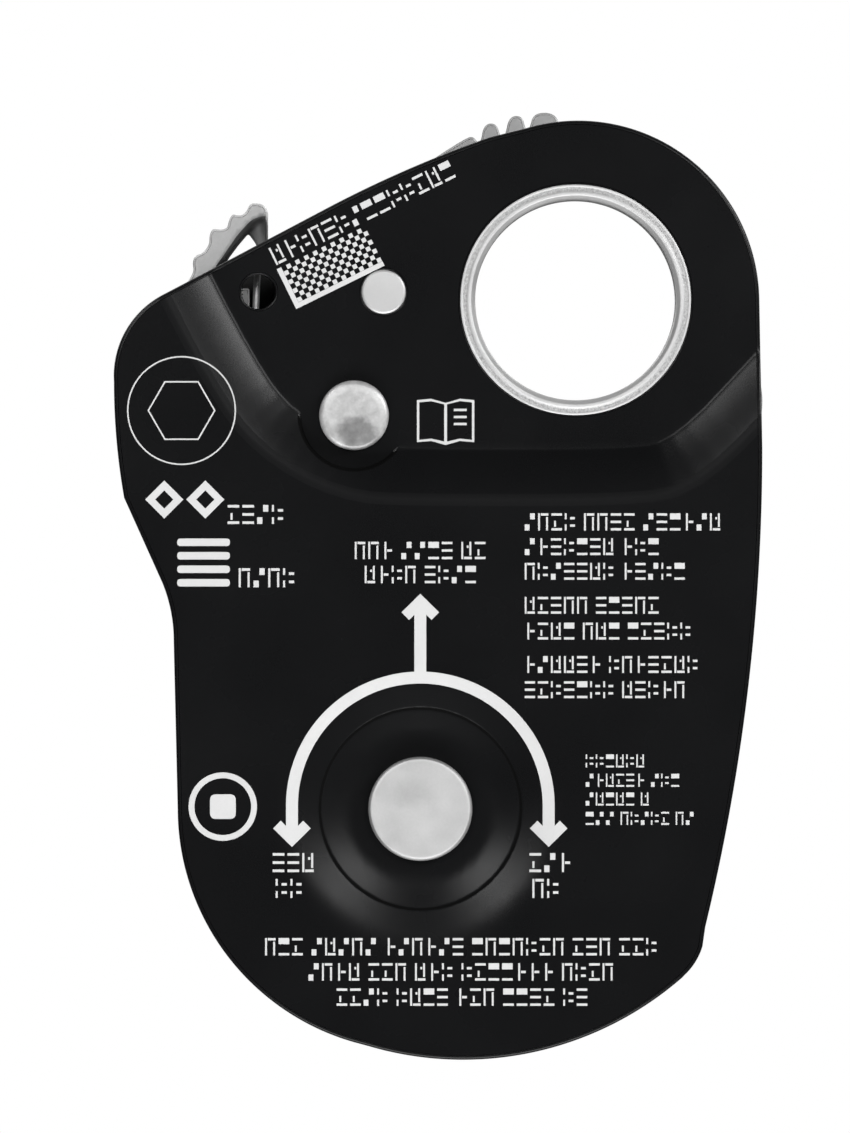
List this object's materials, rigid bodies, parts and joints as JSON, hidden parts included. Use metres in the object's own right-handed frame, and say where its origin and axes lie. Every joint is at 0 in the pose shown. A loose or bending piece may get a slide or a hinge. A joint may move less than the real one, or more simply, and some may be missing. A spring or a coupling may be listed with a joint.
{
  "type": "progress capture pulley",
  "caption": "Compact progress-capture pulley: two pressed side plates, one swinging open, round a ball-bearing sheave and a sprung toothed cam.",
  "frame": {"origin": "centre of the connection eye, half way between the two side plates", "axes": "+Z from the sheave up to the connection eye, +Y along the axles towards the swinging plate, +X away from the cam"},
  "size_m": [0.0555, 0.0191, 0.0809],
  "materials": {
    "black_anodised": "satin black anodised",
    "grey_anodised": "satin grey anodised",
    "rivet_steel": "satin stainless steel",
    "cast_steel": "bead-blasted cast steel",
    "bearing_steel": "polished steel",
    "spring_steel": "drawn spring wire",
    "sheave_aluminium": "turned aluminium",
    "bush_bronze": "sintered bronze",
    "seal_rubber": "matt black rubber",
    "cage_brass": "stamped brass"
  },
  "bodies": {
    "root": {"rear_side_plate": "black_anodised", "rear_eye_bush": "rivet_steel", "stop_pin": "rivet_steel", "sheave_axle": "rivet_steel", "rear_spacer": "bearing_steel", "front_spacer": "bearing_steel", "friction_washer": "spring_steel", "bearing_inner_race": "bearing_steel", "cam_axle": "rivet_steel", "cam_spring": "spring_steel"},
    "sheave": {"sheave": "sheave_aluminium", "bearing_outer_race": "bearing_steel", "bearing_seal_rear": "seal_rubber", "bearing_seal_front": "seal_rubber", "sheave_retaining_ring": "spring_steel"},
    "ball_set": {"bearing_cage": "cage_brass", "bearing_ball_1": "bearing_steel", "bearing_ball_2": "bearing_steel", "bearing_ball_3": "bearing_steel", "bearing_ball_4": "bearing_steel", "bearing_ball_5": "bearing_steel", "bearing_ball_6": "bearing_steel", "bearing_ball_7": "bearing_steel", "bearing_ball_8": "bearing_steel"},
    "cam": {"cam": "cast_steel", "cam_bush": "bush_bronze", "button_spring": "spring_steel"},
    "button": {"hold_open_button": "bearing_steel", "button_clip": "spring_steel"},
    "swing_plate": {"swing_side_plate": "grey_anodised", "swing_plate_bush": "bush_bronze", "swing_eye_bush": "rivet_steel"}
  },
  "joints": [
    {"name": "sheave_spin", "type": "hinge", "parent": "root", "child": "sheave", "pos_m": [-0.01326, 0, -0.04344], "axis": [0, 1, 0], "continuous": true},
    {"name": "ball_orbit", "type": "hinge", "parent": "root", "child": "ball_set", "pos_m": [-0.01326, 0, -0.04344], "axis": [0, 1, 0], "continuous": true},
    {"name": "cam_pivot", "type": "hinge", "parent": "root", "child": "cam", "pos_m": [-0.01892, 0, -0.00986], "axis": [0, 1, 0], "range_deg": [0, 35], "stiffness_Nm_per_rad": 0.015, "springref_deg": -51.57, "deforming": ["cam_spring"]},
    {"name": "button_press", "type": "slide", "parent": "cam", "child": "button", "axis": [0, -1, 0], "range_m": [0, 0.002], "stiffness_N_per_m": 150, "springref_m": -0.002, "deforming": ["button_spring"]},
    {"name": "swing_open", "type": "hinge", "parent": "root", "child": "swing_plate", "pos_m": [-0.01326, 0, -0.04344], "axis": [0, 1, 0], "range_deg": [0, 130]}
  ],
  "couplings": [
    {"joint": "ball_orbit", "follows": "sheave_spin", "ratio": 0.6176}
  ]
}
